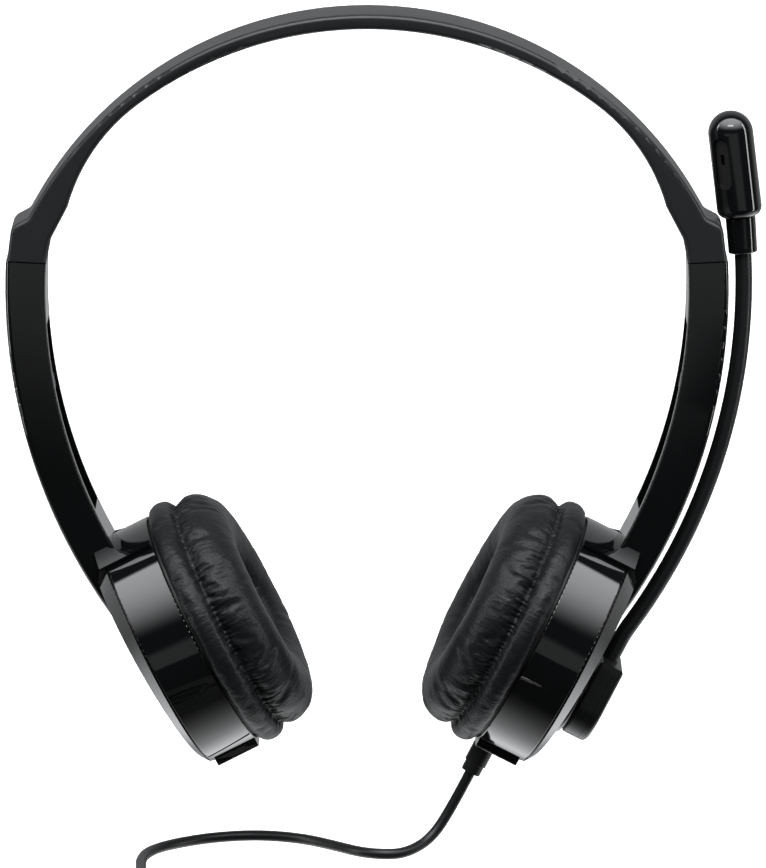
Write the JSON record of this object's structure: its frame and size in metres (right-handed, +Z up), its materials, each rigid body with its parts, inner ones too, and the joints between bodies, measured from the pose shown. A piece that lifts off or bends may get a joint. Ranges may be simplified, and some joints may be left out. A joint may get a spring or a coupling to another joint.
{
  "type": "office headset",
  "caption": "On-ear office headset: curved headband, sliding arms, tilted round cups with padded cushions, a swing-up boom microphone and a thin cord with a jack plug.",
  "frame": {"origin": "middle of the headband underside at the top, where the wearer's head carries it", "axes": "+Z up, +Y to the back of the headset, +X towards the boom side; the cups hang down -Z and face each other along X"},
  "size_m": [0.1726, 0.1285, 0.1968],
  "materials": {
    "band_plastic": "fine satin moulded, charcoal black",
    "gloss_shell": "polished piano black",
    "inner_plastic": "plain moulded, black",
    "leatherette": "soft grained leatherette, black",
    "mesh_cloth": "fine woven scrim, black",
    "steel": "plated screw and spring steel",
    "magnet": "zinc-plated magnet and yoke",
    "copper": "enamelled copper winding",
    "film": "thin polyester film",
    "board": "solder-masked board",
    "wire_jacket": "thin jacket",
    "boom_plastic": "satin moulded, black",
    "boom_rubber": "satin sleeve, black",
    "mic_gloss": "polished black",
    "capsule_metal": "plain can",
    "cord_jacket": "smooth satin jacket, black",
    "boot_rubber": "moulded soft rubber, black",
    "tie_strap": "hook-and-loop strap, black",
    "plug_metal": "nickel-plated contacts"
  },
  "bodies": {
    "band": {"headband": "band_plastic", "headband_liner": "band_plastic", "crossover_wire": "wire_jacket", "slider_tongue_l": "inner_plastic", "slider_tongue_r": "inner_plastic", "tongue_screws": "steel"},
    "arm_l": {"arm_lead_l": "wire_jacket", "arm_shell_l": "gloss_shell", "cup_housing_l": "gloss_shell", "cup_screws_l": "steel", "cushion_ring_l": "inner_plastic", "detent_spring_l": "steel", "diaphragm_l": "film", "driver_baffle_l": "inner_plastic", "driver_basket_l": "inner_plastic", "driver_magnet_l": "magnet", "ear_cushion_l": "leatherette", "ear_mesh_l": "mesh_cloth", "slide_retainer_l": "gloss_shell", "terminal_board_l": "board", "voice_coil_l": "copper"},
    "arm_r": {"arm_lead_r": "wire_jacket", "arm_shell_r": "gloss_shell", "boom_hub": "gloss_shell", "cord": "cord_jacket", "cord_boot": "boot_rubber", "cord_coil": "cord_jacket", "cord_tie": "tie_strap", "cup_housing_r": "gloss_shell", "cup_screws_r": "steel", "cushion_ring_r": "inner_plastic", "detent_spring_r": "steel", "diaphragm_r": "film", "driver_baffle_r": "inner_plastic", "driver_basket_r": "inner_plastic", "driver_magnet_r": "magnet", "ear_cushion_r": "leatherette", "ear_mesh_r": "mesh_cloth", "friction_washer": "inner_plastic", "pivot_clip": "steel", "pivot_rivet": "steel", "plug_grip": "boot_rubber", "plug_pin": "plug_metal", "slide_retainer_r": "gloss_shell", "terminal_board_r": "board", "voice_coil_r": "copper"},
    "boom": {"boom_rotor": "boom_plastic", "rotor_cover": "boom_plastic", "boom_tube": "boom_rubber", "boom_wire": "wire_jacket", "mic_collar": "mic_gloss", "mic_shell_front": "mic_gloss", "mic_shell_back": "mic_gloss", "mic_grille": "inner_plastic", "mic_capsule": "capsule_metal"}
  },
  "joints": [
    {"name": "arm_l_slide", "type": "hinge", "parent": "band", "child": "arm_l", "pos_m": [0.04853, 0, -0.06029], "axis": [0, -1, 0], "range_deg": [0, 6]},
    {"name": "arm_r_slide", "type": "hinge", "parent": "band", "child": "arm_r", "pos_m": [-0.04853, 0, -0.06029], "axis": [0, 1, 0], "range_deg": [0, 6]},
    {"name": "boom_turn", "type": "hinge", "parent": "arm_r", "child": "boom", "pos_m": [0.05003, 0, -0.15707], "axis": [0.891, 0, -0.454], "range_deg": [-100, 100]}
  ]
}
